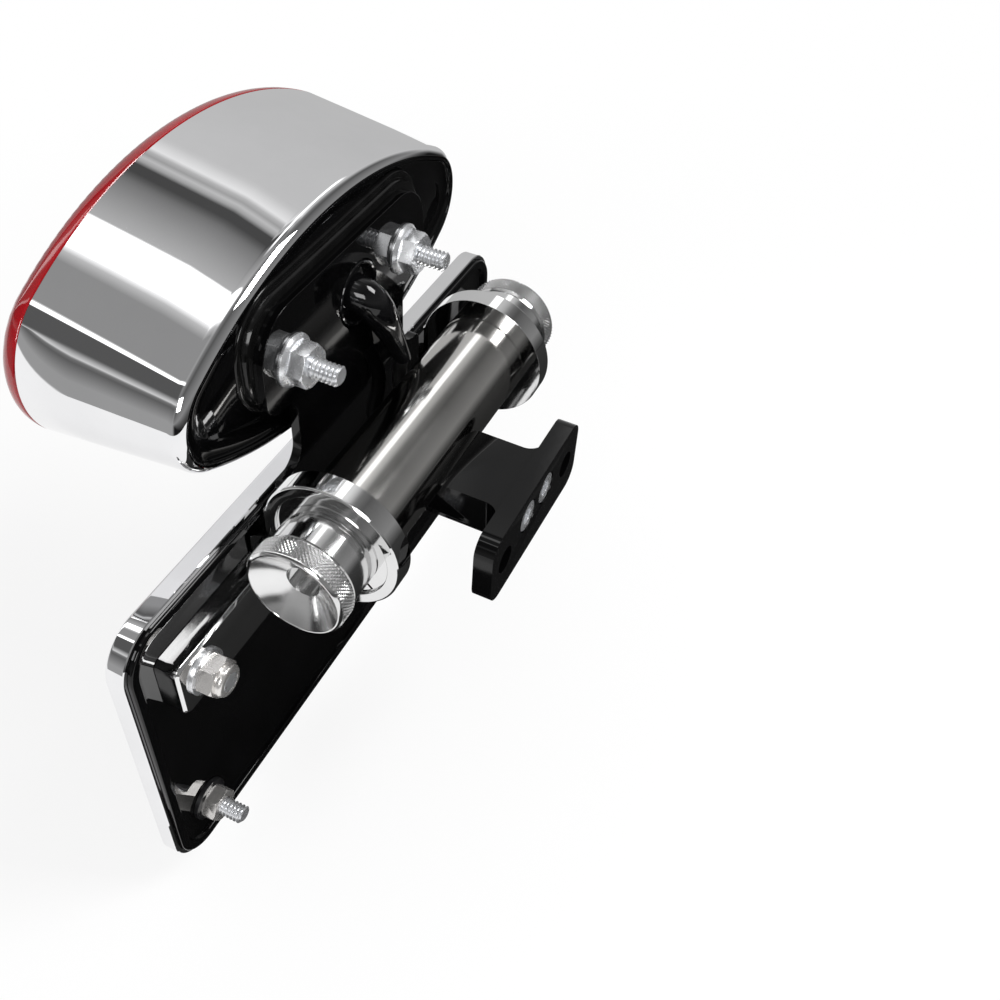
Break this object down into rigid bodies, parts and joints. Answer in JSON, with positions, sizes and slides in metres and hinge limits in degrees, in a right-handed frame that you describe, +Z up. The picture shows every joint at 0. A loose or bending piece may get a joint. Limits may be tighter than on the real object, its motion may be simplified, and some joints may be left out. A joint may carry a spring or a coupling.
{
  "type": "laydown license plate holder",
  "caption": "Motorcycle number plate holder that tilts about a polished pivot bar clamped by knurled knobs, with an oval tail lamp above a framed plate panel.",
  "frame": {"origin": "midway between the two fender bolt holes, on the base's forward face", "axes": "+X along the pivot bar to the vehicle's right, +Y forward out of the base face, +Z up"},
  "size_m": [0.212, 0.1184, 0.1943],
  "materials": {
    "black_paint": "gloss",
    "polished_alloy": "polished",
    "turned_alloy": "turned and knurled",
    "zinc_steel": "zinc plated",
    "chrome": "mirror chrome",
    "black_rubber": "satin",
    "black_plastic": "gloss",
    "black_vinyl": "soft gloss",
    "red_lens": "clear red moulded",
    "bulb_glass": "clear"
  },
  "bodies": {
    "mount": {"fender_base": "black_paint", "pivot_bar": "polished_alloy", "stem_bolts": "zinc_steel"},
    "knob_r": {"knob_right": "turned_alloy", "knob_stud_right": "zinc_steel"},
    "knob_l": {"knob_left": "turned_alloy", "knob_stud_left": "zinc_steel"},
    "carrier": {"ring_clamp_right": "polished_alloy", "ring_clamp_left": "polished_alloy", "carrier_bar": "polished_alloy", "back_panel": "black_paint", "plate_frame": "chrome", "bar_bolt_right": "zinc_steel", "bar_bolt_left": "zinc_steel", "bar_washer_right": "zinc_steel", "bar_washer_left": "zinc_steel", "bar_nut_right": "zinc_steel", "bar_nut_left": "zinc_steel", "lower_bolt_right": "zinc_steel", "lower_bolt_left": "zinc_steel", "lower_washer_right": "black_rubber", "lower_washer_left": "black_rubber", "lower_nut_right": "zinc_steel", "lower_nut_left": "zinc_steel", "lamp_bracket": "black_paint", "bracket_screws": "zinc_steel", "lamp_gasket": "black_rubber", "lamp_base": "black_plastic", "lamp_shell": "chrome", "lamp_lens": "red_lens", "lamp_stud_right": "zinc_steel", "lamp_stud_left": "zinc_steel", "flange_nut_right": "zinc_steel", "flange_nut_left": "zinc_steel", "bulb_holder": "black_plastic", "bulb": "bulb_glass", "lead_boot": "black_vinyl", "lamp_lead": "black_vinyl", "lead_plug": "black_plastic"}
  },
  "joints": [
    {"name": "laydown_tilt", "type": "hinge", "parent": "mount", "child": "carrier", "pos_m": [0, -0.04, 0.012], "axis": [1, 0, 0], "range_deg": [-60, 15]},
    {"name": "knob_right_turn", "type": "hinge", "parent": "mount", "child": "knob_r", "pos_m": [0, -0.04, 0.012], "axis": [1, 0, 0], "range_deg": [0, 360]},
    {"name": "knob_left_turn", "type": "hinge", "parent": "mount", "child": "knob_l", "pos_m": [0, -0.04, 0.012], "axis": [-1, 0, 0], "range_deg": [0, 360]}
  ]
}
